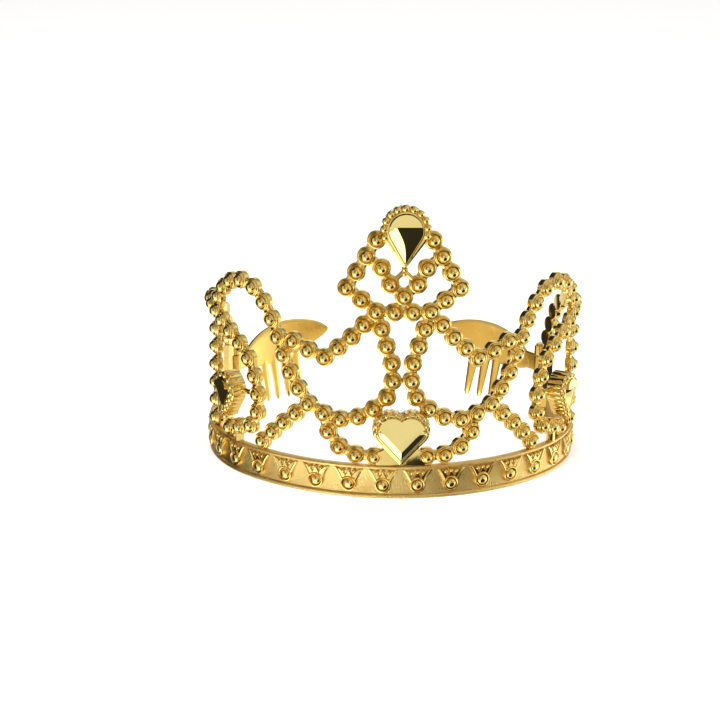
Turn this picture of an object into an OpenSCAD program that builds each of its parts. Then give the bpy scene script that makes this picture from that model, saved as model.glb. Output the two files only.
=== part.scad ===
// Beaded toy tiara: an open oval band that carries bead strands, three kinds of
// set stones and two hinged hair combs. Millimetres, +Z up, the front faces -Y.
// Places on the crown are given as [s, z]: s is measured along the band from the
// middle of the front, and z is the height above the surface it stands on.
// Left is the -X side and right is the +X side.

/* [Plan] */
// Radius of the flatter front of the oval
front_r = 66; // [60:1:75]
// Radius of the rounder sides of the oval
side_r = 46; // [40:1:52]
// Where the band ends, measured from the middle of the front
band_end = 106; // [98:1:107]

/* [Band] */
// Height of the band
band_h = 10.6; // [9:0.2:12]
// Thickness of the band between its lips
band_t = 1.8; // [1.4:0.1:2.6]
// How far the two lips stand out from the face
lip_out = 0.5; // [0.2:0.1:1]
// Height of each lip
lip_h = 0.9; // [0.5:0.1:1.4]
// Distance between the raised motifs
motif_pitch = 10.56; // [9.5:0.02:11]
// Number of raised motifs on each half
motif_count = 10; // [4:1:10]

/* [Beads] */
// Radius of a bead's cup
bead_r = 2.7; // [2.4:0.1:2.8]
// Depth of the cup behind the middle of the wall
bead_back = 1.6; // [1:0.1:2]
// Distance between the beads of a strand
bead_pitch = 5.7; // [5.5:0.1:6.2]
// Radius of the links between beads
link_r = 1.1; // [0.6:0.1:1.4]

/* [Stones] */
// Radius of the round end of the top stone
peak_stone_r = 5; // [4:0.1:5.5]
// Radius of the round end of each side stone
wing_stone_r = 3.5; // [3:0.1:4]
// Radius of each lobe of the heart stone
heart_stone_r = 3.6; // [3.2:0.1:4]
// Width of the beaded rim around a stone
rim_w = 2.1; // [1.6:0.1:2.4]
// How far a setting stands out from the middle of the wall
setting_out = 3.4; // [2.5:0.1:4.5]
// How far a stone stands out of its setting
stone_out = 1; // [0.6:0.1:1.4]

/* [Combs] */
// Place of the hinge along the band
hinge_s = 112.5; // [111:0.5:114]
// Radius of the hinge pin
pin_r = 0.8; // [0.6:0.1:1]
// Radius of the hinge knuckles
knuckle_r = 2; // [1.8:0.1:2.3]
// Running clearance between the pin and the comb
pin_gap = 0.05; // [0.02:0.01:0.1]
// Thickness of a comb
comb_t = 1.6; // [1.2:0.1:2]
// Length of a comb's leaf
comb_w = 36; // [32:1:38]
// Number of teeth on a comb
teeth = 4; // [3:1:5]
// Distance between teeth
tooth_pitch = 4.3; // [4:0.1:4.6]

/* [Hidden] */
$fn = 48;

gold = "gold";
pale_gold = "khaki";
stone_gold = "goldenrod";

// The oval is four arcs that meet at 45 degrees, so both centres lie this far out.
arc_a = 45;
centre_off = (front_r - side_r) * sin(arc_a);
front_s = front_r * arc_a * PI / 180;
half_depth = front_r - centre_off;
// Moves the crown so that the middle of its box is at the origin.
centre_y = 3.13;

// Angle of the outward normal at s, counted from the front
function turn(s) = s < front_s ? s / front_r * 180 / PI
                               : arc_a + (s - front_s) / side_r * 180 / PI;
// Middle of the wall at [s, z], with out measured outwards from it
function wall(p, out = 0) =
    let (a = turn(p[0]), side = p[0] >= front_s)
    [(side ? centre_off : 0) + ((side ? side_r : front_r) + out) * sin(a),
     (side ? 0 : centre_off) - ((side ? side_r : front_r) + out) * cos(a),
     p[1]];

// Smooth curve through the control points p, with n steps between neighbours
function blend(a, b, c, d, t) =
    0.5 * ((2 * b) + (c - a) * t + (2 * a - 5 * b + 4 * c - d) * t * t
    + (3 * b - a - 3 * c + d) * t * t * t);
function curve(p, n = 12) = concat(
    [for (i = [0:len(p) - 2], k = [0:n - 1])
        blend(p[max(i - 1, 0)], p[i], p[i + 1], p[min(i + 2, len(p) - 1)], k / n)],
    [p[len(p) - 1]]);
// Length of the curve c up to each of its points
function lengths(c) =
    [for (i = 0, d = 0; i < len(c);
          d = d + (i + 1 < len(c) ? norm(c[i + 1] - c[i]) : 0), i = i + 1) d];
function point_at(c, along, d) =
    let (i = max([for (k = [0:len(c) - 2]) if (along[k] <= d) k]))
    c[i] + (c[i + 1] - c[i]) * (d - along[i]) / (along[i + 1] - along[i]);
// Evenly spaced bead places along the curve through p
function bead_places(p) =
    let (c = curve(p), along = lengths(c), total = along[len(along) - 1],
         n = round(total / bead_pitch))
    [for (i = [0:n]) point_at(c, along, total * min(i / n, 0.9999))];
// The same places without the first or the last one, on the other side, or backwards
function tail(list) = [for (i = [1:len(list) - 1]) list[i]];
function head(list) = [for (i = [0:len(list) - 2]) list[i]];
function mirrored(list) = [for (p = list) [-p[0], p[1]]];
function reverse(list) = [for (i = [len(list) - 1:-1:0]) list[i]];

// Shared places where strands meet
peak_corner = [17.4, 66.8];
peak_foot = [8.3, 59.8];
v_start = [11.5, 76.6];
arch_start = [40.5, 48.6];
tie_foot = [29.4, 28.6];
swag_low = [24.1, 44.2];
arch_side = [73.5, 50];
loop_start = [24.6, 26];
peak_z = 85.5;
heart_z = 23;
heart_lobe = 3.3;
heart_point = 9.6;
wing_stone_place = [61, 27.6];

// Bead places of the strands of the right half, from hand-set control points
peak_line = concat(bead_places([[8.5, 81.9], peak_corner]),
                   tail(bead_places([peak_corner, peak_foot])));
v_line = bead_places([v_start, [6.8, 73.3], [4.2, 68.4], [0, 64.6]]);
crossbar_place = [2.8, 59.7];
ogee_line = concat(
    bead_places([peak_foot, [4.9, 48.9], [2.8, 40.4], [4.8, 32.3], [13.5, 25.9], [21, 25], tie_foot]),
    tail(bead_places([tie_foot, [38, 21.3], [46.6, 13.2]])));
swag_line = concat(
    bead_places([peak_foot, [15.8, 51.4], swag_low]),
    tail(bead_places([swag_low, [29.6, 46], [34.7, 48.2], arch_start])));
tie_line = bead_places([arch_start, [36, 37.9], tie_foot]);
loop_line = bead_places([loop_start, [22.5, 20], [17, 14.4], [8.1, 13.4]]);
arch_line = concat(
    bead_places([arch_start, [43.2, 54.5], [49, 61.8], [56, 64], [64, 61.5], [70.5, 56], arch_side]),
    tail(bead_places([arch_side, [74.6, 32], [74.8, 13.4]])));
scroll_line = bead_places([arch_side, [64, 46.8], [54, 40.6], [49.6, 32], [48.8, 23],
                           [52, 17], [57.5, 15.2], [63, 13.4]]);
rear_line = bead_places([arch_side, [84, 51.3], [94, 49.6], [103.2, 43.4], [107.8, 31.4]]);

module at_wall(p) {
    translate(wall(p)) rotate([0, 0, turn(p[0])]) children();
}

// Everything that is drawn on the wall faces -Y before it is put in place.
module facing_out() {
    rotate([90, 0, 0]) children();
}

module right_side() {
    translate([0, centre_y, 0]) children();
}

module left_side() {
    mirror([1, 0, 0]) right_side() children();
}

module both_sides() {
    right_side() children();
    left_side() children();
}

// A round cup with a rim and a polished dome
module bead(p) {
    at_wall(p) facing_out() rotate_extrude()
        polygon([[0, -bead_back], [bead_r, -bead_back], [bead_r, 1.5],
                 [bead_r - 0.7, 1.5], [bead_r - 1, 2.3], [0, 2.8]]);
}

// A straight round bar between two places on the wall, shortened by trim at each end
module bar(p, q, r, trim = 0) {
    a = wall(p);
    d = wall(q) - a;
    translate(a) rotate([0, acos(d[2] / norm(d)), atan2(d[1], d[0])])
        translate([0, 0, trim]) cylinder(h = norm(d) - 2 * trim, r = r, $fn = 24);
}

// The link between two neighbouring beads ends just inside their cups.
module link(p, q) {
    bar(p, q, link_r, bead_r - 0.8);
}

module links(list) {
    for (i = [1:len(list) - 1]) link(list[i - 1], list[i]);
}

// Beads on the places in list, joined by links
module strand(list) {
    for (p = list) bead(p);
    links(list);
}

// Part of the oval wall between two distances along it, from a section in [out, z]
module wall_sweep(from_s, to_s) {
    front_to = min(to_s, front_s);
    if (from_s < front_s)
        translate([0, centre_off, 0])
            rotate_extrude(angle = turn(front_to) - turn(from_s), start = turn(from_s) - 90, $fn = 96)
                translate([front_r, 0]) children();
    if (to_s > front_s)
        translate([centre_off, 0, 0])
            rotate_extrude(angle = turn(to_s) - arc_a, start = arc_a - 90, $fn = 96)
                translate([side_r, 0]) children();
}

module band_section() {
    face = band_t / 2;
    translate([-face, 0]) square([band_t, band_h]);
    for (z = [0, band_h - lip_h])
        translate([0, z]) square([face + lip_out, lip_h]);
}

module band() {
    color(gold) both_sides() wall_sweep(0, band_end) band_section();
}

// A domed stud in a ring, under a small crown of three points
module motif() {
    ring_z = 4.4;
    depth = 1.1;
    translate([0, ring_z, 0]) {
        difference() {
            cylinder(h = depth, r = 2.5);
            translate([0, 0, 0.4]) cylinder(h = depth, r = 1.9);
        }
        cylinder(h = 0.8, r = 1.6);
        translate([0, 0, 0.8]) cylinder(h = 0.6, r1 = 1.6, r2 = 0.7);
    }
    for (side = [0, 1]) mirror([side, 0, 0])
        linear_extrude(depth)
            polygon([[1.2, ring_z + 2], [2.5, ring_z + 0.9], [3.9, 9.4], [2.4, 8.5], [1.3, 7.6]]);
    linear_extrude(depth)
        polygon([[-1.5, ring_z + 2], [1.5, ring_z + 2], [0.6, 7.8], [0, 8.9], [-0.6, 7.8]]);
}

module band_motifs() {
    sink = 0.15;
    color(gold) both_sides()
        for (i = [1:motif_count])
            at_wall([(i - 0.5) * motif_pitch, 0]) translate([0, sink - band_t / 2, 0])
                facing_out() motif();
}

module peak_strand() {
    color(gold) right_side() {
        strand(concat(peak_line, [crossbar_place], mirrored([crossbar_place]), reverse(mirrored(peak_line))));
        for (p = tail(head(v_line))) for (side = [-1, 1]) bead([side * p[0], p[1]]);
        bead(v_line[len(v_line) - 1]);
        links(v_line);
        links(mirrored(v_line));
    }
}

// Outline with a round end of radius r at the origin and a point at the distance d below it
module drop_outline(r, d) {
    touch = asin(r / d);
    circle(r);
    polygon([[r * cos(touch), -r * sin(touch)], [0, -d], [-r * cos(touch), -r * sin(touch)]]);
}

// Heart with two lobes of radius r beside the middle and a point at the distance d below it
module heart_outline(r, d) {
    touch = asin(r / norm([heart_lobe, d])) + atan2(heart_lobe, d);
    // The straight sides start a little inside the lobes.
    side_x = heart_lobe + 0.99 * r * cos(touch);
    side_z = -0.99 * r * sin(touch);
    for (side = [-1, 1]) translate([side * heart_lobe, 0]) circle(r);
    polygon([[side_x, side_z], [0, -d], [-side_x, side_z], [-0.9 * heart_lobe, 0],
             [0, 0.2 * r], [0.9 * heart_lobe, 0]]);
}

// A deep cup with a pocket for a stone: children are the outer and the pocket outline
module setting(back, front, pocket) {
    facing_out() difference() {
        translate([0, 0, -back]) linear_extrude(back + front) children(0);
        translate([0, 0, front - pocket]) linear_extrude(pocket + 1) children(1);
    }
}

pocket_depth = 1.4;

module peak_setting() {
    d = 2 * peak_stone_r;
    color(gold) right_side() at_wall([0, peak_z]) {
        setting(bead_back, setting_out, pocket_depth) {
            drop_outline(peak_stone_r + rim_w, d + rim_w);
            drop_outline(peak_stone_r, d);
        }
    }
    // The stem under the stone forks to the two upper strands.
    color(gold) right_side() for (side = [-1, 1])
        bar([0, peak_z - d - rim_w + 1], [side * 4.2, 68.4], 0.8);
}

module stone_body(from, out) {
    facing_out() {
        translate([0, 0, from]) linear_extrude(out) children(0);
        translate([0, 0, from + out]) linear_extrude(0.6) children(1);
    }
}

module peak_stone() {
    d = 2 * peak_stone_r;
    color(stone_gold) right_side() at_wall([0, peak_z])
        stone_body(setting_out - pocket_depth, pocket_depth + stone_out) {
            drop_outline(peak_stone_r, d);
            drop_outline(peak_stone_r - 1.5, d - 3);
        }
}

module heart_setting() {
    d = heart_point;
    color(gold) right_side() at_wall([0, heart_z])
        setting(bead_back, setting_out, pocket_depth) {
            heart_outline(heart_stone_r + rim_w, d + rim_w + 0.3);
            heart_outline(heart_stone_r, d);
        }
}

module heart_stone() {
    d = heart_point;
    color(stone_gold) right_side() at_wall([0, heart_z])
        stone_body(setting_out - pocket_depth, pocket_depth + stone_out) {
            heart_outline(heart_stone_r, d);
            heart_outline(heart_stone_r - 1.2, d - 2.2);
        }
}

// A strand whose first bead belongs to the strand that it starts from
module hung_strand(line) {
    color(gold) {
        for (p = tail(line)) bead(p);
        links(line);
    }
}

module ogee() {
    hung_strand(ogee_line);
}

module swag() {
    hung_strand(swag_line);
    color(gold) {
        for (p = tail(head(tie_line))) bead(p);
        links(tie_line);
    }
}

module lower_loop() {
    hung_strand(loop_line);
}

module arch() {
    hung_strand(arch_line);
}

module scroll() {
    post_s = 57.5;
    hung_strand(scroll_line);
    color(gold) bar([post_s, 14], [post_s, band_h - 0.5], 1.4);
}

module wing_setting() {
    d = 1.95 * wing_stone_r;
    color(gold) at_wall(wing_stone_place) {
        setting(bead_back, setting_out + 1, pocket_depth) {
            drop_outline(wing_stone_r + rim_w, d + rim_w + 0.8);
            drop_outline(wing_stone_r, d);
        }
    }
    // Two short bars hold the setting in the scroll.
    color(gold) {
        bar([wing_stone_place[0] - 5, 28], [51, 28], 0.9);
        bar([wing_stone_place[0] + 5, 28], [73, 28], 0.9);
    }
}

module wing_stone() {
    d = 1.95 * wing_stone_r;
    color(stone_gold) at_wall(wing_stone_place)
        stone_body(setting_out + 1 - pocket_depth, pocket_depth + 0.8) {
            drop_outline(wing_stone_r, d);
            drop_outline(wing_stone_r - 1.1, d - 2.2);
        }
}

module rear_strand() {
    foot = rear_line[len(rear_line) - 1];
    hung_strand(rear_line);
    color(gold) bar(foot, [foot[0], post_top - 0.5], 1.2);
}

// Heights of the hinge, from the floor up
post_top = 28.6;
lower_ear = [13.6, 17];
comb_knuckle = [17.3, 23.7];
upper_ear = [24, 27.4];

module end_bracket() {
    post_w = 3.2;
    color(gold) difference() {
        union() {
            at_wall([band_end, 0]) translate([0, -1, 0]) cube([post_w, 2, post_top]);
            at_wall([hinge_s, 0]) for (ear = [lower_ear, upper_ear]) translate([0, 0, ear[0]]) {
                cylinder(h = ear[1] - ear[0], r = knuckle_r);
                translate([-5, -0.8, 0]) cube([4, 1.6, ear[1] - ear[0]]);
            }
        }
        at_wall([hinge_s, 0]) translate([0, 0, lower_ear[0] - 1]) cylinder(h = 20, r = pin_r);
    }
}

module hinge_pin() {
    head_h = 0.7;
    color(pale_gold) at_wall([hinge_s, 0]) {
        translate([0, 0, lower_ear[0] - head_h]) cylinder(h = head_h, r = pin_r + 0.6);
        translate([0, 0, lower_ear[0]]) cylinder(h = upper_ear[1] - lower_ear[0], r = pin_r);
        translate([0, 0, upper_ear[1]]) cylinder(h = head_h, r = pin_r + 0.6);
    }
}

// A comb drawn flat in [x, z], from the hinge at x = 0: a lens-shaped leaf that tilts up towards
// its free end, on a short strap, with teeth that lean towards that end
comb_mid = [22, 22.5];
comb_tilt = 11.3;
leaf_above = 8;
leaf_below = 6;
first_tooth = 15.6;
tooth_root = 18.5;
tooth_tip = 2.9;
tooth_lean = 2.4;

// Radius of an arc over the leaf's length that rises by h
function leaf_r(h) = (comb_w * comb_w / 4 + h * h) / (2 * h);

module comb_outline() {
    translate(comb_mid) rotate(comb_tilt) intersection() {
        translate([0, leaf_above - leaf_r(leaf_above)]) circle(leaf_r(leaf_above), $fn = 96);
        translate([0, leaf_r(leaf_below) - leaf_below]) circle(leaf_r(leaf_below), $fn = 96);
    }
    translate([knuckle_r - 0.6, comb_knuckle[0]]) square([7, comb_knuckle[1] - comb_knuckle[0]]);
    for (i = [0:teeth - 1]) translate([first_tooth + i * tooth_pitch, 0]) {
        polygon([
            [-1.7, tooth_root], [1.7, tooth_root], [tooth_lean + 0.85, tooth_tip], [tooth_lean - 0.85, tooth_tip]
        ]);
        translate([tooth_lean, tooth_tip]) circle(0.85, $fn = 24);
    }
}

module comb() {
    // The comb follows the head on this radius.
    comb_r = 60;
    reach = 60;
    color(pale_gold) at_wall([hinge_s, 0]) difference() {
        union() {
            intersection() {
                translate([0, comb_r, 0])
                    rotate_extrude(angle = 44, start = -90, $fn = 96)
                        translate([comb_r - comb_t / 2, 0]) square([comb_t, 40]);
                translate([0, reach / 2, 0]) rotate([90, 0, 0]) linear_extrude(reach) comb_outline();
            }
            translate([0, 0, comb_knuckle[0]])
                cylinder(h = comb_knuckle[1] - comb_knuckle[0], r = knuckle_r);
        }
        translate([0, 0, comb_knuckle[0] - 1])
            cylinder(h = comb_knuckle[1] - comb_knuckle[0] + 2, r = pin_r + pin_gap);
    }
}

band();
band_motifs();
peak_strand();
peak_setting();
peak_stone();
heart_setting();
heart_stone();
left_side() ogee();  // left_ogee
right_side() ogee();  // right_ogee
left_side() swag();  // left_swag
right_side() swag();  // right_swag
left_side() lower_loop();  // left_lower_loop
right_side() lower_loop();  // right_lower_loop
left_side() arch();  // left_arch
right_side() arch();  // right_arch
left_side() scroll();  // left_scroll
right_side() scroll();  // right_scroll
left_side() wing_setting();  // left_wing_setting
right_side() wing_setting();  // right_wing_setting
left_side() wing_stone();  // left_wing_stone
right_side() wing_stone();  // right_wing_stone
left_side() rear_strand();  // left_rear_strand
right_side() rear_strand();  // right_rear_strand
left_side() end_bracket();  // left_end_bracket
right_side() end_bracket();  // right_end_bracket
left_side() hinge_pin();  // left_hinge_pin
right_side() hinge_pin();  // right_hinge_pin
left_side() comb();  // left_comb
right_side() comb();  // right_comb
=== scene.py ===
# A beaded gold toy crown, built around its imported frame. The scene is in metres. The tables of
# places and profiles are in millimetres, and MM turns them into metres.

import math

import bmesh
import bpy
from mathutils import Matrix, Vector


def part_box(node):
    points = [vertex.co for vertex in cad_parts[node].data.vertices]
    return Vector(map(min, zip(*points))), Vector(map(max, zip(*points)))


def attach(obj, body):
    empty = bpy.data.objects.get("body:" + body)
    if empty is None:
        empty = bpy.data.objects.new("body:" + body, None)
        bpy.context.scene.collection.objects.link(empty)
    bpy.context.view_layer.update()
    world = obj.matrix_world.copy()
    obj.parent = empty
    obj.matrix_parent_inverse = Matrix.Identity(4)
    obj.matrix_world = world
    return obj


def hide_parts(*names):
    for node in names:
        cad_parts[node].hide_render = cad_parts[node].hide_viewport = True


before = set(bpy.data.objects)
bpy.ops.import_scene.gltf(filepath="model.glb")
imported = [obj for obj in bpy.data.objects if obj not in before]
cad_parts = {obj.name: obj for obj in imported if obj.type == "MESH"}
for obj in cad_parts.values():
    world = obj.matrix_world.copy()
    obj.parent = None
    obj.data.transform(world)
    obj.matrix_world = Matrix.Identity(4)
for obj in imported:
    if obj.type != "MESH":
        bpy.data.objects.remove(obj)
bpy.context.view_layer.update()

# ---------------------------------------------------------------- the plan of the crown
# The oval is four arcs that meet at 45 degrees. s runs along it from the middle of the front.

MM = 0.001
FRONT_R = 66 * MM
SIDE_R = 46 * MM
ARC = math.radians(45)
CENTRE_OFF = (FRONT_R - SIDE_R) * math.sin(ARC)
FRONT_S = FRONT_R * ARC
BAND_END = 106 * MM
LIP = 1.4 * MM
band_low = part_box("band")[0]
CENTRE_Y = band_low.y + FRONT_R - CENTRE_OFF + LIP


def turn(s):
    """Angle of the outward normal at s, counted from the front."""
    far = ARC + (abs(s) - FRONT_S) / SIDE_R
    return math.copysign(far, s) if abs(s) > FRONT_S else s / FRONT_R


def wall(s, z, out=0.0):
    """The point at s along the wall and the height z, at the distance out outside its middle."""
    angle = turn(s)
    side = abs(s) > FRONT_S
    radius = (SIDE_R if side else FRONT_R) + out
    centre_x = math.copysign(CENTRE_OFF, s) if side else 0.0
    centre_y = 0.0 if side else CENTRE_OFF
    return Vector((centre_x + radius * math.sin(angle),
                   CENTRE_Y + centre_y - radius * math.cos(angle), z))


def axes(s):
    """Unit vectors at s: along the wall, up, and outwards."""
    angle = turn(s)
    return (Vector((math.cos(angle), math.sin(angle), 0)), Vector((0, 0, 1)),
            Vector((math.sin(angle), -math.cos(angle), 0)))


# ---------------------------------------------------------------- where the beads are

PITCH = 5.7
PEAK_CORNER = (17.4, 66.8)
PEAK_FOOT = (8.3, 59.8)
SWAG_LOW = (24.1, 44.2)
ARCH_START = (40.5, 48.6)
ARCH_SIDE = (73.5, 50)
TIE_FOOT = (29.4, 28.6)
PEAK_Z = 85.5
HEART_Z = 23
WING_PLACE = (61, 27.6)


def smooth_line(points, steps=12):
    """A smooth curve through the control points, as in the CAD source."""
    line = []
    for i in range(len(points) - 1):
        a, b = points[max(i - 1, 0)], points[i]
        c, d = points[i + 1], points[min(i + 2, len(points) - 1)]
        for k in range(steps):
            t = k / steps
            line.append(tuple(
                0.5 * (2 * b[n] + (c[n] - a[n]) * t
                       + (2 * a[n] - 5 * b[n] + 4 * c[n] - d[n]) * t * t
                       + (3 * b[n] - a[n] - 3 * c[n] + d[n]) * t ** 3)
                for n in range(2)))
    return line + [tuple(points[-1])]


def spaced(line, pitch):
    """Evenly spaced places along a line, about pitch apart, with both ends."""
    runs = [0.0]
    for a, b in zip(line, line[1:]):
        runs.append(runs[-1] + math.dist(a, b))
    count = max(1, round(runs[-1] / pitch))
    places, i = [], 0
    for k in range(count + 1):
        want = runs[-1] * k / count
        while i < len(line) - 2 and runs[i + 1] < want:
            i += 1
        share = (want - runs[i]) / (runs[i + 1] - runs[i])
        places.append(tuple(line[i][n] + (line[i + 1][n] - line[i][n]) * share
                            for n in range(2)))
    return places


def beads_on(*points):
    return spaced(smooth_line(points), PITCH)


def mirrored(places):
    return [(-s, z) for s, z in places]


PEAK = beads_on((8.5, 81.9), PEAK_CORNER) + beads_on(PEAK_CORNER, PEAK_FOOT)[1:]
V_LINE = beads_on((11.5, 76.6), (6.8, 73.3), (4.2, 68.4), (0, 64.6))
CROSSBAR = (2.8, 59.7)
OGEE = (beads_on(PEAK_FOOT, (4.9, 48.9), (2.8, 40.4), (4.8, 32.3), (13.5, 25.9), (21, 25),
                 TIE_FOOT)
        + beads_on(TIE_FOOT, (38, 21.3), (46.6, 13.2))[1:])
SWAG = (beads_on(PEAK_FOOT, (15.8, 51.4), SWAG_LOW)
        + beads_on(SWAG_LOW, (29.6, 46), (34.7, 48.2), ARCH_START)[1:])
TIE = beads_on(ARCH_START, (36, 37.9), TIE_FOOT)
LOOP = beads_on((24.6, 26), (22.5, 20), (17, 14.4), (8.1, 13.4))
ARCH = (beads_on(ARCH_START, (43.2, 54.5), (49, 61.8), (56, 64), (64, 61.5), (70.5, 56),
                 ARCH_SIDE)
        + beads_on(ARCH_SIDE, (74.6, 32), (74.8, 13.4))[1:])
SCROLL = beads_on(ARCH_SIDE, (64, 46.8), (54, 40.6), (49.6, 32), (48.8, 23), (52, 17),
                  (57.5, 15.2), (63, 13.4))
REAR = beads_on(ARCH_SIDE, (84, 51.3), (94, 49.6), (103.2, 43.4), (107.8, 31.4))

# ---------------------------------------------------------------- mesh helpers

OFF_AXIS = Vector((0.31, 0.12, 0.94))    # no bar of the crown runs this way


class Shape:
    """Vertices and faces of one piece, gathered before the mesh is made."""

    def __init__(self):
        self.verts = []
        self.faces = []

    def add(self, verts, faces):
        base = len(self.verts)
        self.verts += verts
        self.faces += [tuple(base + i for i in face) for face in faces]

    def rings(self, rings, close_ends=True):
        """Joins equal rings of points into a closed skin."""
        n = len(rings[0])
        verts = [p for ring in rings for p in ring]
        faces = [(k * n + i, k * n + (i + 1) % n, (k + 1) * n + (i + 1) % n, (k + 1) * n + i)
                 for k in range(len(rings) - 1) for i in range(n)]
        if close_ends:
            faces.append(tuple(range(n))[::-1])
            faces.append(tuple((len(rings) - 1) * n + i for i in range(n)))
        self.add(verts, faces)

    def lathe(self, origin, side, up, out, profile, steps):
        """Turns a profile of (radius, out) pairs about the out axis. Both ends lie on the axis."""
        rings = []
        for radius, height in profile[1:-1]:
            rings.append([origin + out * height
                          + (side * math.cos(u) + up * math.sin(u)) * radius
                          for u in (2 * math.pi * i / steps for i in range(steps))])
        base = len(self.verts)
        self.rings(rings, close_ends=False)
        first = len(self.verts)
        self.verts += [origin + out * profile[0][1], origin + out * profile[-1][1]]
        last = base + (len(rings) - 1) * steps
        for i in range(steps):
            j = (i + 1) % steps
            self.faces.append((first, base + j, base + i))
            self.faces.append((first + 1, last + i, last + j))

    def ball(self, centre, radius, side, up, out, flat=1.0):
        """A ball, squashed along out by flat."""
        steps, levels = 14, 8
        profile = [(radius * math.sin(math.pi * k / levels),
                    -radius * flat * math.cos(math.pi * k / levels)) for k in range(levels + 1)]
        self.lathe(centre, side, up, out, profile, steps)

    def tube(self, points, radius, steps=10):
        """A round bar through the points, closed at both ends."""
        rings = []
        for i, p in enumerate(points):
            ahead = points[min(i + 1, len(points) - 1)] - points[max(i - 1, 0)]
            ahead.normalize()
            side = ahead.cross(OFF_AXIS).normalized()
            up = side.cross(ahead)
            rings.append([p + (side * math.cos(u) + up * math.sin(u)) * radius
                          for u in (2 * math.pi * k / steps for k in range(steps))])
        self.rings(rings)

    def build(self, name, material, body, sharp=35, merge=0.0):
        """The finished piece. Edges sharper than sharp degrees stay hard."""
        mesh = bpy.data.meshes.new(name)
        mesh.from_pydata([tuple(v) for v in self.verts], [], self.faces)
        mesh.validate()
        obj = bpy.data.objects.new(name, mesh)
        bpy.context.scene.collection.objects.link(obj)
        clean(mesh, merge)
        mesh.polygons.foreach_set("use_smooth", [True] * len(mesh.polygons))
        mesh.set_sharp_from_angle(angle=math.radians(sharp))
        mesh.materials.append(material)
        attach(obj, body)
        return obj


def clean(mesh, merge):
    """Joins points closer than merge, if that isn't zero, and turns every face outwards."""
    work = bmesh.new()
    work.from_mesh(mesh)
    if merge:
        bmesh.ops.remove_doubles(work, verts=work.verts, dist=merge)
    bmesh.ops.recalc_face_normals(work, faces=work.faces)
    work.to_mesh(mesh)
    work.free()


# ---------------------------------------------------------------- materials

CLOUD_SCALE = 90
SMUDGE_SCALE = 320
# Painted shade: this dark brown is mixed into the gold's colour in hollows and creases, fullest
# where pointiness is HOLLOW and gone by LEVEL.
HOLLOW_SHADE = (0.26, 0.16, 0.05, 1)
HOLLOW, LEVEL = 0.40, 0.485     # pointiness in a deep corner and on a plain face
GRAIN_DEPTH = 0.0004


def noise(nodes, links, place, scale, detail):
    node = nodes.new("ShaderNodeTexNoise")
    node.inputs["Scale"].default_value = scale
    node.inputs["Detail"].default_value = detail
    links.new(place, node.inputs["Vector"])
    return node.outputs["Fac"]


def remap(nodes, links, value, low, high, start=0.0, end=1.0, curve="LINEAR"):
    """The value, with low to high stretched over start to end and held between them."""
    node = nodes.new("ShaderNodeMapRange")
    node.interpolation_type = curve
    node.inputs["From Min"].default_value = low
    node.inputs["From Max"].default_value = high
    node.inputs["To Min"].default_value = start
    node.inputs["To Max"].default_value = end
    links.new(value, node.inputs["Value"])
    return node.outputs["Result"]


def gold(name, color, shadow_color, roughness, spread, grain, grain_size):
    """Metallised plastic: two close gold tones, painted shade in hollows, uneven gloss, fine
    surface.
    """
    material = bpy.data.materials.new(name)
    material.use_nodes = True
    nodes, links = material.node_tree.nodes, material.node_tree.links
    shader = nodes["Principled BSDF"]
    shader.inputs["Metallic"].default_value = 1.0
    place = nodes.new("ShaderNodeTexCoord").outputs["Object"]

    clouds = noise(nodes, links, place, CLOUD_SCALE, 3)
    tone = nodes.new("ShaderNodeMix")
    tone.data_type = "RGBA"
    tone.inputs["A"].default_value = (*shadow_color, 1)
    tone.inputs["B"].default_value = (*color, 1)
    links.new(remap(nodes, links, clouds, 0.3, 0.6), tone.inputs["Factor"])

    # Painted shade: concave corners, found by their pointiness, turn dark brown in place of the
    # shade deep in the grooves.
    pointiness = nodes.new("ShaderNodeNewGeometry").outputs["Pointiness"]
    painted_shade = nodes.new("ShaderNodeMix")
    painted_shade.data_type = "RGBA"
    painted_shade.inputs["A"].default_value = HOLLOW_SHADE
    links.new(remap(nodes, links, pointiness, HOLLOW, LEVEL), painted_shade.inputs["Factor"])
    links.new(tone.outputs["Result"], painted_shade.inputs["B"])
    links.new(painted_shade.outputs["Result"], shader.inputs["Base Color"])

    smudges = noise(nodes, links, place, SMUDGE_SCALE, 4)
    gloss = remap(nodes, links, smudges, 0.35, 0.7, roughness, roughness + spread)
    links.new(gloss, shader.inputs["Roughness"])

    bump = nodes.new("ShaderNodeBump")
    bump.inputs["Strength"].default_value = grain
    bump.inputs["Distance"].default_value = GRAIN_DEPTH
    links.new(noise(nodes, links, place, grain_size, 5), bump.inputs["Height"])
    links.new(bump.outputs["Normal"], shader.inputs["Normal"])
    return material


# name, lit tone, shaded tone, roughness, its spread, grain strength, grain scale
bright = gold("bright_gold", (0.94, 0.71, 0.25), (0.90, 0.64, 0.18), 0.07, 0.08, 0.08, 700)
polished = gold("polished_gold", (0.93, 0.77, 0.31), (0.90, 0.73, 0.26), 0.03, 0.04, 0.02, 300)
grained = gold("grained_gold", (0.92, 0.67, 0.23), (0.83, 0.55, 0.17), 0.26, 0.12, 0.6, 2400)
satin = gold("satin_gold", (0.95, 0.68, 0.20), (0.90, 0.60, 0.14), 0.26, 0.10, 0.08, 900)
brass = gold("pin_brass", (0.78, 0.55, 0.24), (0.60, 0.40, 0.16), 0.22, 0.15, 0.15, 1500)

# ---------------------------------------------------------------- bead strands

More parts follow.
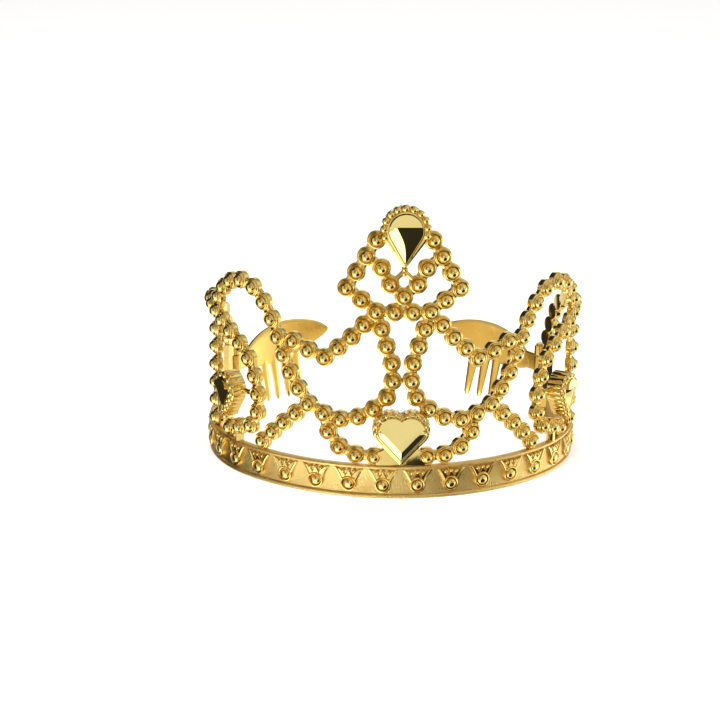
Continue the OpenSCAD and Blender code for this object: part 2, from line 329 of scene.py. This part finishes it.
# Pairs of radius and distance out from the wall: the cup with its rim, then the dome inside it.
BARREL = [(0, -1.6), (2.2, -1.6), (2.66, -1.52), (2.86, -1.25), (2.88, -0.4), (2.88, 0.3),
          (2.8, 0.58), (2.64, 0.72), (2.5, 0.76), (2.45, 0.84), (2.42, 1.04), (2.34, 1.2),
          (2.22, 1.26), (2.1, 1.2), (2.02, 1.04), (1.96, 0.86), (1.9, 0.84)]
DOME_R = 1.86
DOME_FOOT = 0.9
DOME_RISE = 1.76
DOME = [(DOME_R * math.cos(u), DOME_FOOT + DOME_RISE * math.sin(u))
        for u in (math.pi / 2 * k / 10 for k in range(11))]
BEAD = BARREL + DOME[:-1] + [(0, DOME_FOOT + DOME_RISE)]
BEAD_PROFILE = [(r * MM, h * MM) for r, h in BEAD]
BEAD_STEPS = 32


def add_bead(shape, place):
    s, z = place[0] * MM, place[1] * MM
    shape.lathe(wall(s, z), *axes(s), BEAD_PROFILE, BEAD_STEPS)


SQUARING = 0.55


def squared(value):
    """Pushes a cosine or sine outwards, so that a ring of them becomes a rounded oblong."""
    return math.copysign(abs(value) ** SQUARING, value)


def add_link(shape, a, b):
    """A flat web that joins two neighbouring beads."""
    steps, half_w, back, front = 16, 1.75 * MM, -1.5 * MM, 0.42 * MM
    ends = [wall(p[0] * MM, p[1] * MM) for p in (a, b)]
    out = axes((a[0] + b[0]) / 2 * MM)[2]
    across = (ends[1] - ends[0]).normalized().cross(out).normalized()
    rings = []
    for end in ends:
        centre = end + out * (back + front) / 2
        rings.append([centre + across * half_w * squared(math.cos(u))
                      + out * (front - back) / 2 * squared(math.sin(u))
                      for u in (2 * math.pi * i / steps for i in range(steps))])
    shape.rings(rings)


def add_links(shape, line):
    for a, b in zip(line, line[1:]):
        add_link(shape, a, b)


def strand(name, beads, lines, bars=()):
    """One strand: its own beads, and the webs along lines, which may start at another's bead."""
    shape = Shape()
    for place in beads:
        add_bead(shape, place)
    for line in lines:
        add_links(shape, line)
    for a, b, radius in bars:
        shape.tube([wall(a[0] * MM, a[1] * MM), wall(b[0] * MM, b[1] * MM)], radius * MM)
    piece = shape.build(name + "_beads", bright, "crown")
    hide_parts(name)


def both(name, beads, lines, bars=()):
    """The strand on the right side and its mirror image on the left."""
    strand("right_" + name, beads, lines, bars)
    strand("left_" + name, mirrored(beads), [mirrored(line) for line in lines],
           [(mirrored([a])[0], mirrored([b])[0], r) for a, b, r in bars])


peak_row = PEAK + [CROSSBAR] + mirrored([CROSSBAR]) + mirrored(PEAK)[::-1]
strand("peak_strand", peak_row + V_LINE[1:] + mirrored(V_LINE[1:-1]),
       [peak_row, V_LINE, mirrored(V_LINE)])
both("ogee", OGEE[1:], [OGEE])
both("swag", SWAG[1:] + TIE[1:-1], [SWAG, TIE])
both("lower_loop", LOOP[1:], [LOOP])
both("arch", ARCH[1:], [ARCH])
both("scroll", SCROLL[1:], [SCROLL], [((57.5, 14), (57.5, 10.3), 1.4)])
foot = REAR[-1]
both("rear_strand", REAR[1:], [REAR], [(foot, (foot[0], 28.2), 1.2)])

# ---------------------------------------------------------------- outlines of the stones


def drop(radius, depth, count):
    """A closed outline with a round end of that radius about the origin and a point at -depth."""
    touch = math.asin(radius / depth)
    arc = [(radius * math.cos(a), radius * math.sin(a))
           for a in (-touch + (math.pi + 2 * touch) * i / 60 for i in range(61))]
    return resample(arc + [(0, -depth)], count)


def heart(radius, lobe, depth, count):
    """A closed heart outline from its point, round both lobes and back."""
    touch = math.asin(radius / math.hypot(lobe, depth)) + math.atan2(lobe, depth)
    notch = math.acos(-lobe / radius)
    right = [(lobe + radius * math.cos(a), radius * math.sin(a))
             for a in (-touch + (notch + touch) * i / 50 for i in range(51))]
    left = [(-x, z) for x, z in reversed(right[:-1])]
    return resample([(0, -depth)] + right + left, count)


def resample(line, count):
    """The same closed line with count evenly spaced points, starting at its first."""
    closed = line + [line[0]]
    total = sum(math.dist(a, b) for a, b in zip(closed, closed[1:]))
    places, run, i = [], 0.0, 0
    for k in range(count):
        want = total * k / count
        while run + math.dist(closed[i], closed[i + 1]) < want:
            run += math.dist(closed[i], closed[i + 1])
            i += 1
        share = (want - run) / math.dist(closed[i], closed[i + 1])
        places.append(tuple(closed[i][n] + (closed[i + 1][n] - closed[i][n]) * share
                            for n in range(2)))
    return places


def offset_line(line, amount):
    """Each point moved outwards by amount, which may be a number or one number per point."""
    n = len(line)
    moved = []
    for i, p in enumerate(line):
        a, b = line[i - 1], line[(i + 1) % n]
        length = math.dist(a, b) or 1
        normal = ((b[1] - a[1]) / length, (a[0] - b[0]) / length)
        step = amount[i] if isinstance(amount, list) else amount
        moved.append((p[0] + normal[0] * step, p[1] + normal[1] * step))
    return moved


def on_flat(line, place, out):
    """An outline about place, laid on a plane that lies out from the wall there."""
    side, up, _ = axes(place[0] * MM)
    origin = wall(place[0] * MM, place[1] * MM, out * MM)
    return [origin + side * x * MM + up * z * MM for x, z in line]


# ---------------------------------------------------------------- settings and stones

CUP_BACK = -1.6
FLUTE_PITCH = 1.9
FLUTE_WAVE, FLUTE_SINK = 0.20, 0.22
WALL_SINK = 0.35
NUB_PITCH = 2.3
STONE_DEPTH = 1.35


def setting(name, outer, pocket, place, front, node, bars=(), nubs_above=-math.inf,
            nub_step_in=1.05, nub_r=1.06, knots=(), ledge=()):
    """A deep fluted cup with a smooth bezel and a rim of nubs down to the height nubs_above.

    bars join it to the beads around it, knots are small balls, and ledge is a plate below it."""
    shape = Shape()
    n = len(outer)
    length = sum(math.dist(outer[i], outer[i - 1]) for i in range(n))
    flutes = round(length / FLUTE_PITCH)
    ridge = [FLUTE_WAVE * math.cos(2 * math.pi * flutes * i / n) - FLUTE_SINK for i in range(n)]
    plain = [-WALL_SINK] * n
    levels = [(CUP_BACK, plain, -0.35), (CUP_BACK, plain, 0), (-1.35, ridge, 0),
              (front - 1.5, ridge, 0), (front - 1.25, plain, 0.1), (front - 0.95, plain, 0.28),
              (front - 0.75, plain, 0.1), (front - 0.65, plain, -0.4)]
    rings = [on_flat([(x * share, z * share) for x, z in outer], place, CUP_BACK)
             for share in (0.02, 0.3, 0.6)]
    rings += [on_flat(offset_line(outer, [a + extra for a in amounts]), place, out)
              for out, amounts, extra in levels]
    inner_levels = [(front - 0.7, 0.85), (front - 0.25, 0.75), (front - 0.02, 0.5),
                    (front - 0.05, 0.2), (front - 0.3, 0.04), (front - 1.3, 0.02)]
    rings += [on_flat(offset_line(pocket, step), place, out) for out, step in inner_levels]
    shape.rings(rings)
    s = place[0] * MM
    rim = resample(offset_line(outer, -nub_step_in), max(8, round(length * 0.9 / NUB_PITCH)))
    for p in on_flat([q for q in rim if q[1] > nubs_above], place, front - 0.8):
        shape.ball(p, nub_r * MM, *axes(s), flat=0.9)
    for a, b, radius in bars:
        points = [wall((a[0] + (b[0] - a[0]) * t) * MM, (a[1] + (b[1] - a[1]) * t) * MM)
                  for t in (0, 0.5, 1)]
        shape.tube(points, radius * MM)
    if ledge:
        ledge_levels = ((-1.5, -0.2), (-1.4, 0), (0.7, 0), (0.95, -0.1), (1.0, -0.4))
        shape.rings([on_flat(offset_line(ledge, step), place, out) for out, step in ledge_levels])
    for knot_s, knot_z, radius in knots:
        shape.ball(wall(knot_s * MM, knot_z * MM, 0.3 * MM), radius * MM, *axes(knot_s * MM))
    piece = shape.build(name, bright, "crown", sharp=50)
    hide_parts(node)


def heart_stone(name, outline, place, front, node):
    """A flat-topped heart with a bevel along each lower side."""
    shape = Shape()
    bevel_top, bevel_foot, inset = 0.8, -2.2, 0.63
    table = []
    for x, z in outline:
        ease = min(1, max(0, (z - bevel_foot) / (bevel_top - bevel_foot)))
        scale = inset + (0.97 - inset) * ease
        table.append((x * scale,
                      bevel_foot + (z - bevel_foot) * (inset if z < bevel_foot else 0.98)))
    rings = [on_flat(outline, place, front - STONE_DEPTH), on_flat(outline, place, front + 0.05),
             on_flat(offset_line(outline, -0.06), place, front + 0.1),
             on_flat(table, place, front + 0.92)]
    for scale, rise in ((0.7, 0.95), (0.4, 0.97), (0.1, 0.98), (0.01, 0.98)):
        rings.append(on_flat([(x * scale, z * scale) for x, z in table], place, front + rise))
    shape.rings(rings)
    piece = shape.build(name, polished, "crown", sharp=9)
    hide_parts(node)


RIDGE = 0.58            # where the ridge meets the cap, as a share of the half width
RIDGE_BEND = 2.2
FACET_ROWS = 12
CAP_ROWS = 8
CAP_START = 0.26        # height of the cap's lower edge, as a share of the radius
CAP_LEVEL = 0.95        # height of that edge out from the cup, as a share of the rise
SHARES = (-1, -0.86, -0.72, -RIDGE, -0.4, -0.2, 0, 0.2, 0.4, 0.6, 0.8, 1)


def drop_stone(name, radius, depth, place, front, rise, node):
    """A drop with a domed cap, over two flat facets that meet in a ridge down to the point."""
    line_z = CAP_START * radius
    touch = math.asin(radius / depth)
    touch_z = -radius * math.sin(touch)

    def half_width(z):
        if z > touch_z:
            return math.sqrt(max(radius ** 2 - z * z, 0))
        return radius * math.cos(touch) * (z + depth) / (touch_z + depth)

    def cap_height(share, z):
        up = max(0.0, (z - line_z) / (radius - line_z))
        return rise * (CAP_LEVEL - 0.5 * up) * (1 - 0.06 * share ** 2)

    rows = []
    for k in range(FACET_ROWS + 1):
        t = k / FACET_ROWS
        z = -depth + (line_z + depth) * t
        ridge = -RIDGE * t ** RIDGE_BEND
        row = []
        for share in SHARES:
            if share < -RIDGE:
                x = -1 + (share + 1) / (1 - RIDGE) * (ridge + 1)
                facet = (x + 1) / (ridge + 1)
            else:
                x = ridge + (share + RIDGE) / (1 + RIDGE) * (1 - ridge)
                facet = (1 - x) / (1 - ridge)
            row.append((x * half_width(z), z - 0.03, rise * CAP_LEVEL * t ** 0.8 * facet))
        rows.append(row)
    widest = half_width(line_z)
    cap_shares = [x / widest for x, _, _ in rows[-1]]
    for k in range(CAP_ROWS + 1):
        z = line_z + (radius * 0.995 - line_z) * math.sin(math.pi / 2 * k / CAP_ROWS)
        rows.append([(share * half_width(z), z, cap_height(share, z)) for share in cap_shares])
    skin = [[on_flat([(x, z)], place, front - 0.1 + high)[0] for x, z, high in row] for row in rows]
    foot = [on_flat([(x, z) for x, z, _ in row], place, front - STONE_DEPTH) for row in rows]

    n = len(SHARES)
    last = len(rows) - 1
    verts = [p for row in skin for p in row]
    faces = [(k * n + j, k * n + j + 1, (k + 1) * n + j + 1, (k + 1) * n + j)
             for k in range(last) for j in range(n - 1)]
    edge = ([k * n for k in range(last + 1)] + [last * n + j for j in range(1, n)]
            + [k * n + n - 1 for k in range(last - 1, -1, -1)] + list(range(n - 2, 0, -1)))
    low = len(verts)
    verts += [foot[i // n][i % n] for i in edge]
    faces += [(edge[i], low + i, low + (i + 1) % len(edge), edge[(i + 1) % len(edge)])
              for i in range(len(edge))]
    faces.append(tuple(range(low, low + len(edge))))
    shape = Shape()
    shape.add(verts, faces)
    piece = shape.build(name, polished, "crown", sharp=16, merge=0.01 * MM)
    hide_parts(node)


FRONT = 3.4
WING_FRONT = 4.4
CUP_POINTS, WING_CUP_POINTS, HEART_POINTS = 288, 240, 160
LINK_Z = 72.4
WING_BAR_Z = 28
HEART_LEDGE = [(-7.6, -12.2), (7.6, -12.2), (7.9, -8.4), (5, -6.8), (-5, -6.8), (-7.9, -8.4)]

setting("peak_cup", drop(7.1, 12.1, CUP_POINTS), drop(5, 10, CUP_POINTS), (0, PEAK_Z), FRONT,
        "peak_setting",
        bars=[((0, LINK_Z), (4.2, 68.4), 0.8), ((0, LINK_Z), (-4.2, 68.4), 0.8),
              ((0, 73.6), (0, 72), 0.75)],
        nubs_above=-3.5, nub_step_in=0.6, nub_r=1.25, knots=[(0, 73.1, 1.0), (0, 71.8, 0.95)])
drop_stone("peak_drop", 4.95, 9.9, (0, PEAK_Z), FRONT, 1.6, "peak_stone")
setting("heart_cup", heart(5.7, 3.3, 12, CUP_POINTS), heart(4.3, 2.92, 9.65, CUP_POINTS),
        (0, HEART_Z), FRONT, "heart_setting", nubs_above=-2.0, ledge=HEART_LEDGE)
heart_stone("heart_gem", heart(4.28, 2.92, 9.6, HEART_POINTS), (0, HEART_Z), FRONT, "heart_stone")
for side, sign in (("left", -1), ("right", 1)):
    spot = (sign * WING_PLACE[0], WING_PLACE[1])
    bars = [((spot[0] - sign * 5, WING_BAR_Z), (sign * 51, WING_BAR_Z), 0.9),
            ((spot[0] + sign * 5, WING_BAR_Z), (sign * 73, WING_BAR_Z), 0.9)]
    setting(side + "_wing_cup", drop(5.6, 9.7, WING_CUP_POINTS), drop(3.5, 6.8, WING_CUP_POINTS),
            spot, WING_FRONT, side + "_wing_setting", bars=bars)
    drop_stone(side + "_wing_drop", 3.46, 6.72, spot, WING_FRONT, 1.3, side + "_wing_stone")

# ---------------------------------------------------------------- the band


def band():
    """The strip with a rounded lip along each edge."""
    section = [(-0.9, 0.25), (-0.75, 0.05), (-0.5, 0), (1.0, 0), (1.25, 0.08), (1.42, 0.3),
               (1.45, 0.6), (1.38, 0.9), (1.2, 1.12), (0.92, 1.2), (0.78, 1.3), (0.75, 1.5),
               (0.75, 9.1), (0.78, 9.3), (0.92, 9.4), (1.2, 9.48), (1.38, 9.7), (1.45, 10.0),
               (1.42, 10.3), (1.25, 10.52), (1.0, 10.6), (-0.5, 10.6), (-0.75, 10.55),
               (-0.9, 10.35)]
    steps = 220
    rings = []
    for i in range(steps + 1):
        s = BAND_END * (2 * i / steps - 1)
        rings.append([wall(s, z * MM, out * MM) for out, z in section])
    shape = Shape()
    shape.rings(rings)
    piece = shape.build("band_strip", grained, "crown", sharp=30)
    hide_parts("band")


MOTIF_FOOT = 0.7


def plate(shape, outline, centre, top_out, inset):
    """A small raised plate on the band, with sloping sides, from an outline in [s, z]."""
    levels = ((0, MOTIF_FOOT), (-inset * 0.35, top_out - 0.15), (-inset, top_out))
    shape.rings([[wall((centre + x) * MM, z * MM, out * MM) for x, z in offset_line(outline, step)]
                 for step, out in levels])


MOTIF_PITCH = 10.56
MOTIF_COUNT = 10
RING_Z = 4.4
EAR = [(0.9, 6.7), (2.2, 5.9), (2.9, 7.0), (3.9, 9.2), (2.9, 9.1), (2.1, 8.4), (1.5, 7.8)]
TIP = [(-1.1, 6.6), (1.1, 6.6), (0.8, 7.6), (0, 8.9), (-0.8, 7.6)]
HORN = [(2.0, 5.6), (2.5, 6.5), (3.0, 7.6), (3.7, 8.8), (4.2, 9.4)]
STUD = [(0, 0), (2.5, 0), (2.56, 0.5), (2.52, 0.85), (2.38, 1.05), (2.16, 1.1), (1.98, 1.0),
        (1.9, 0.7), (1.86, 0.3), (1.8, 0.22), (1.74, 0.3), (1.68, 0.62), (1.5, 1.0), (1.2, 1.28),
        (0.7, 1.46), (0, 1.52)]
HORN_R = 0.42
GRANULE_R = 0.62


def motifs():
    """Studs in rings, each under three raised points and two thin flaring horns."""
    shape = Shape()
    for k in range(-MOTIF_COUNT, MOTIF_COUNT):
        centre = (k + 0.5) * MOTIF_PITCH
        s = centre * MM
        origin = wall(s, RING_Z * MM, MOTIF_FOOT * MM)
        shape.lathe(origin, *axes(s), [(r * MM, h * MM) for r, h in STUD], 28)
        plate(shape, EAR, centre, 1.35, 0.25)
        plate(shape, mirrored(reversed(EAR)), centre, 1.35, 0.25)
        plate(shape, TIP, centre, 1.45, 0.3)
        for sign in (-1, 1):
            horn = [wall((centre + sign * x) * MM, z * MM, 1.3 * MM) for x, z in HORN]
            shape.tube(horn, HORN_R * MM, 8)
            granule = wall((centre + sign * 1.7) * MM, 8.5 * MM, 1.3 * MM)
            shape.ball(granule, GRANULE_R * MM, *axes(s))
        shape.ball(wall(s, 8.7 * MM, 1.35 * MM), GRANULE_R * MM, *axes(s))
    piece = shape.build("band_studs", bright, "crown", sharp=30)
    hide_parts("band_motifs")


band()
motifs()

# ---------------------------------------------------------------- combs

HINGE_S = 112.5
COMB_R = 60
LEAF_MID = (22, 22.5)
LEAF_TILT = math.radians(11.3)
LEAF_HALF = 18
LEAF_ABOVE = 8
LEAF_BELOW = 6
LEAF_ROUNDING = 0.65
LEAF_THICK = 1.6
TEETH = 4
TOOTH_FIRST = 15.6
TOOTH_PITCH = 4.3
TOOTH_LEAN = 2.4
TOOTH_ROOT_Z = 18.5
TOOTH_TIP_Z = 2.05
TOOTH_ROOT_HALF, TOOTH_TIP_HALF = 1.85, 0.9
KNUCKLE = (17.3, 23.7)


def comb_point(sign, x, z, out):
    """A point of the comb drawn flat, x along it from the hinge, laid on the comb's own arc."""
    side, up, outward = axes(sign * HINGE_S * MM)
    origin = wall(sign * HINGE_S * MM, 0)
    radius = COMB_R + out
    angle = math.asin(x / COMB_R)
    return (origin + side * sign * radius * math.sin(angle) * MM
            + outward * (radius * math.cos(angle) - COMB_R) * MM + up * z * MM)


def lofted(shape, sign, sections):
    """A rounded bar or leaf from sections: x, z of one edge, x, z of the other, thickness."""
    steps = 24
    rings = []
    for x_a, z_a, x_b, z_b, thick in sections:
        ring = []
        for i in range(steps):
            u = 2 * math.pi * i / steps
            share = (1 + squared(math.cos(u))) / 2
            ring.append(comb_point(sign, x_a + (x_b - x_a) * share, z_a + (z_b - z_a) * share,
                                   thick / 2 * squared(math.sin(u))))
        rings.append(ring)
    shape.rings(rings)


def tooth(shape, sign, x):
    """A tapered tooth with a rounded tip, leaning towards the comb's free end."""
    steps, levels = 16, 14
    rings = []
    for k in range(levels + 1):
        t = k / levels
        last = k == levels
        half = (TOOTH_ROOT_HALF + (TOOTH_TIP_HALF - TOOTH_ROOT_HALF) * t) * (0.35 if last else 1)
        thick = (0.78 - 0.2 * t) * (0.4 if last else 1)
        z = TOOTH_ROOT_Z + (TOOTH_TIP_Z - TOOTH_ROOT_Z) * t - (0.25 if last else 0)
        middle = x + TOOTH_LEAN * t
        rings.append([comb_point(sign, middle + half * math.cos(u), z, thick * math.sin(u))
                      for u in (2 * math.pi * i / steps for i in range(steps))])
    shape.rings(rings)


def leaf_edge(along, rise):
    """Height of the leaf's edge over its length, highest in the middle and with rounded ends."""
    return rise * (1 - (along / LEAF_HALF) ** 2) ** LEAF_ROUNDING


def comb(side, sign):
    """A pointed leaf with its teeth, an arm back to the hinge, and the sleeve round the pin."""
    shape = Shape()
    leaf = []
    columns = 56
    c, d = math.cos(LEAF_TILT), math.sin(LEAF_TILT)
    for i in range(columns + 1):
        along = -math.cos(math.pi * i / columns) * (LEAF_HALF - 0.05)
        above, below = leaf_edge(along, LEAF_ABOVE), leaf_edge(along, LEAF_BELOW)
        edges = []
        for across in (-max(0.1, below), max(0.1, above)):
            edges += [LEAF_MID[0] + along * c - across * d, LEAF_MID[1] + along * d + across * c]
        leaf.append((*edges, min(LEAF_THICK, 0.5 + above * 1.2)))
    lofted(shape, sign, leaf)
    lofted(shape, sign, [(1.2 + 0.9 * i, KNUCKLE[0] + 0.1, 1.2 + 0.9 * i, KNUCKLE[1] - 0.1, 1.5)
                         for i in range(9)])
    for i in range(TEETH):
        tooth(shape, sign, TOOTH_FIRST + TOOTH_PITCH * i)
    up = Vector((0, 0, 1))
    side_axis, _, outward = axes(sign * HINGE_S * MM)
    low, high = KNUCKLE
    base = wall(sign * HINGE_S * MM, 0)
    sleeve = [(0.86, low), (1.7, low), (1.93, low + 0.12), (2.0, low + 0.35), (2.0, high - 0.35),
              (1.93, high - 0.12), (1.7, high), (0.86, high)]
    steps = 36
    rings = [[base + up * z * MM + (side_axis * math.cos(u) + outward * math.sin(u)) * r * MM
              for u in (2 * math.pi * i / steps for i in range(steps))] for r, z in sleeve]
    shape.rings(rings + [rings[0]], close_ends=False)
    piece = shape.build(side + "_comb_moulding", satin, side + "_comb", sharp=40)
    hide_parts(side + "_comb")


for side, sign in (("left", -1), ("right", 1)):
    comb(side, sign)
    for part, finish, width in (("_end_bracket", bright, 0.35), ("_hinge_pin", brass, 0.2)):
        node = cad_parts[side + part]
        node.data.materials.clear()
        node.data.materials.append(finish)
        round_off = node.modifiers.new("rounded_edges", "BEVEL")
        round_off.width = width * MM
        round_off.segments = 3
        round_off.limit_method = "ANGLE"
        round_off.harden_normals = False

# ---------------------------------------------------------------- stage, light and camera


def floor():
    mesh = bpy.data.meshes.new("floor")
    half = 4.0
    corners = [(-half, -half, 0), (half, -half, 0), (half, half, 0), (-half, half, 0)]
    mesh.from_pydata(corners, [], [(0, 1, 2, 3)])
    obj = bpy.data.objects.new("floor", mesh)
    bpy.context.scene.collection.objects.link(obj)
    material = bpy.data.materials.new("pale_floor")
    material.use_nodes = True
    shader = material.node_tree.nodes["Principled BSDF"]
    shader.inputs["Base Color"].default_value = (0.93, 0.93, 0.925, 1)
    shader.inputs["Roughness"].default_value = 0.7
    mesh.materials.append(material)
    obj.visible_glossy = False


def card(name, centre, size, facing, color, strength):
    """A studio card that shows only in reflections."""
    mesh = bpy.data.meshes.new(name)
    x, y = size[0] / 2, size[1] / 2
    mesh.from_pydata([(-x, -y, 0), (x, -y, 0), (x, y, 0), (-x, y, 0)], [], [(0, 1, 2, 3)])
    obj = bpy.data.objects.new(name, mesh)
    obj.location = centre
    obj.rotation_euler = Vector(facing).to_track_quat("Z", "Y").to_euler()
    bpy.context.scene.collection.objects.link(obj)
    obj.visible_camera = False
    obj.visible_shadow = False
    obj.visible_diffuse = False
    material = bpy.data.materials.new(name)
    material.use_nodes = True
    nodes = material.node_tree.nodes
    nodes.clear()
    glow = nodes.new("ShaderNodeEmission")
    glow.inputs["Color"].default_value = (*color, 1)
    glow.inputs["Strength"].default_value = strength
    out = nodes.new("ShaderNodeOutputMaterial")
    material.node_tree.links.new(glow.outputs["Emission"], out.inputs["Surface"])
    mesh.materials.append(material)


def softbox(name, location, size, power):
    light = bpy.data.lights.new(name, "AREA")
    light.shape = "RECTANGLE"
    light.size, light.size_y = size
    light.energy = power
    obj = bpy.data.objects.new(name, light)
    obj.location = location
    aim = Vector((0, 0, 0.04)) - Vector(location)
    obj.rotation_euler = aim.to_track_quat("-Z", "Y").to_euler()
    obj.visible_glossy = False
    bpy.context.scene.collection.objects.link(obj)


def even_light():
    """A wide, soft light from above that keeps the whole floor evenly pale."""
    light = bpy.data.lights.new("even_light", "SUN")
    light.energy = 2.1
    light.angle = math.radians(70)
    obj = bpy.data.objects.new("even_light", light)
    obj.location = (0, 0, 1)
    obj.rotation_euler = (math.radians(12), math.radians(-8), 0)
    obj.visible_glossy = False
    bpy.context.scene.collection.objects.link(obj)


floor()
softbox("key_light", (-0.55, -0.55, 0.95), (0.7, 0.7), 9)
softbox("fill_light", (0.75, -0.35, 0.7), (0.6, 0.6), 5)
even_light()
card("inner_card", (0, 0.004, 0.0006), (0.084, 0.074), (0, 0, 1), (1.0, 0.86, 0.6), 0.9)


def lobe(nodes, links, direction, start, full, amount):
    """Brightness that grows as a ray turns towards direction."""
    place = nodes.new("ShaderNodeTexCoord")
    dot = nodes.new("ShaderNodeVectorMath")
    dot.operation = "DOT_PRODUCT"
    dot.inputs[1].default_value = Vector(direction).normalized()
    links.new(place.outputs["Generated"], dot.inputs[0])
    return remap(nodes, links, dot.outputs["Value"], start, full, 0.0, amount, "SMOOTHSTEP")


# direction, cosine where it starts, cosine where it is full, brightness added
LOBES = (((0.45, -0.2, 0.87), 0.50, 0.95, 0.3),      # overhead
         ((0.05, -0.96, 0.27), 0.93, 0.985, 0.65),   # front, at the camera's height
         ((0.93, -0.2, 0.30), 0.66, 0.95, 0.4),      # right
         ((-0.93, -0.3, 0.22), 0.82, 0.96, 0.4),     # left
         ((0.1, 0.93, 0.35), 0.90, 0.97, 0.7),       # pale sweep behind
         ((0, 0, -1), -0.03, 0.10, 0.66),            # pale table
         ((-0.45, -0.59, -0.67), 0.90, 0.95, 1.9),   # strip light low on the left
         ((0.98, 0.32, -0.29), 0.90, 0.95, 1.2),     # strip light low on the right
         ((0.52, -0.66, -0.54), 0.855, 0.905, -1.2),  # dark patch low on the right
         ((-0.90, 0.32, -0.29), 0.82, 0.90, -1.0),   # dark patch behind on the left
         ((-0.62, 0.42, 0.66), 0.72, 0.88, -0.4))    # dark patch high behind on the left
ROOM_LIGHT = 0.24
DIMMEST = 0.03


def studio():
    """A room seen only in the metal: soft pale areas, two strip lights and three dark patches."""
    world = bpy.data.worlds.new("studio")
    bpy.context.scene.world = world
    world.use_nodes = True
    nodes, links = world.node_tree.nodes, world.node_tree.links
    base = nodes.new("ShaderNodeValue")
    base.outputs["Value"].default_value = ROOM_LIGHT
    total = base.outputs["Value"]
    for direction, start, full, amount in LOBES:
        add = nodes.new("ShaderNodeMath")
        links.new(total, add.inputs[0])
        links.new(lobe(nodes, links, direction, start, full, amount), add.inputs[1])
        total = add.outputs["Value"]
    dimmest = nodes.new("ShaderNodeMath")
    dimmest.operation = "MAXIMUM"
    dimmest.inputs[1].default_value = DIMMEST
    links.new(total, dimmest.inputs[0])
    background = nodes["Background"]
    background.inputs["Color"].default_value = (1.0, 0.98, 0.95, 1)
    links.new(dimmest.outputs["Value"], background.inputs["Strength"])


studio()
bpy.context.scene.view_settings.view_transform = "Standard"

AZIMUTH = math.radians(-2.35)
ELEVATION = math.radians(16.98)
ROLL = math.radians(-0.82)
DISTANCE = 0.546
FOCAL_LENGTH = 80.9
TARGET_SIDE = -0.0108
TARGET_Z = 0.0287
back = Vector((math.sin(AZIMUTH) * math.cos(ELEVATION), -math.cos(AZIMUTH) * math.cos(ELEVATION),
               math.sin(ELEVATION)))
right = Vector((math.cos(AZIMUTH), math.sin(AZIMUTH), 0))
up = back.cross(right)
target = right * TARGET_SIDE + Vector((0, CENTRE_Y, TARGET_Z))
lens = bpy.data.cameras.new("camera")
lens.lens = FOCAL_LENGTH
lens.sensor_width = 36
lens.clip_start, lens.clip_end = 0.01, 50
camera = bpy.data.objects.new("camera", lens)
rolled_right = right * math.cos(ROLL) - up * math.sin(ROLL)
rolled_up = right * math.sin(ROLL) + up * math.cos(ROLL)
camera.matrix_world = Matrix((
    (rolled_right.x, rolled_up.x, back.x, target.x + back.x * DISTANCE),
    (rolled_right.y, rolled_up.y, back.y, target.y + back.y * DISTANCE),
    (rolled_right.z, rolled_up.z, back.z, target.z + back.z * DISTANCE),
    (0, 0, 0, 1)))
bpy.context.scene.collection.objects.link(camera)
bpy.context.scene.camera = camera
